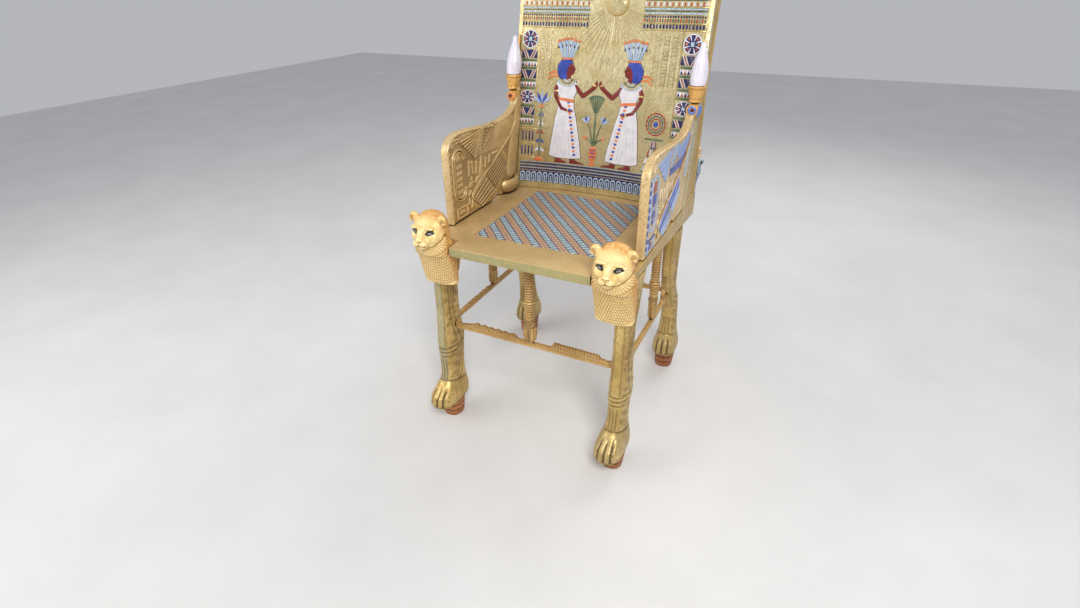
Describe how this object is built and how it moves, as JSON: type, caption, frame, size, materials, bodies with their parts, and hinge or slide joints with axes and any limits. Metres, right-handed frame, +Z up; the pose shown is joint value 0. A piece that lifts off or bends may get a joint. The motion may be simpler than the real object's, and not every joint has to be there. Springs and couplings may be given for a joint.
{
  "type": "throne",
  "caption": "Gilded wooden ceremonial throne with lion heads and legs, winged serpent arms, a leaning inlaid back and thin stretchers, for one seated person.",
  "frame": {"origin": "middle of the footprint, on the floor", "axes": "+Z up, the front of the seat facing -Y, +X to the right seen from the front"},
  "size_m": [0.5344, 0.66, 1.0303],
  "materials": {
    "gilded_wood": "gilded",
    "pale_gilding": "gilded and inlaid",
    "bright_gilding": "gilded",
    "worn_gilding": "worn gilding",
    "seat_inlay": "inlaid",
    "drum_wood": "stained",
    "white_crown": "smooth",
    "blue_grey_glaze": "glazed"
  },
  "bodies": {
    "root": {"seat_board": "gilded_wood", "seat_rail_left": "gilded_wood", "seat_rail_right": "gilded_wood", "seat_rail_rear": "gilded_wood", "leg_front_left": "gilded_wood", "leg_front_right": "gilded_wood", "leg_rear_left": "gilded_wood", "leg_rear_right": "gilded_wood", "arm_left": "gilded_wood", "arm_right": "gilded_wood", "crown_gold_left": "gilded_wood", "crown_gold_right": "gilded_wood", "back_stile_left": "gilded_wood", "back_stile_right": "gilded_wood", "rear_strut": "gilded_wood", "top_rail": "gilded_wood", "back_panel": "pale_gilding", "seat_inlay": "seat_inlay", "drum_front_left": "drum_wood", "drum_front_right": "drum_wood", "drum_rear_left": "drum_wood", "drum_rear_right": "drum_wood", "lion_head_left": "bright_gilding", "lion_head_right": "bright_gilding", "crown_white_left": "white_crown", "crown_white_right": "white_crown", "cobra_outer_left": "blue_grey_glaze", "cobra_outer_right": "blue_grey_glaze", "cobra_inner_left": "blue_grey_glaze", "cobra_inner_right": "blue_grey_glaze", "stretcher_front": "worn_gilding", "stretcher_rear": "worn_gilding", "stretcher_left": "worn_gilding", "stretcher_right": "worn_gilding", "upright_front": "worn_gilding", "upright_rear": "worn_gilding", "upright_left": "worn_gilding", "upright_right": "worn_gilding"}
  },
  "joints": []
}
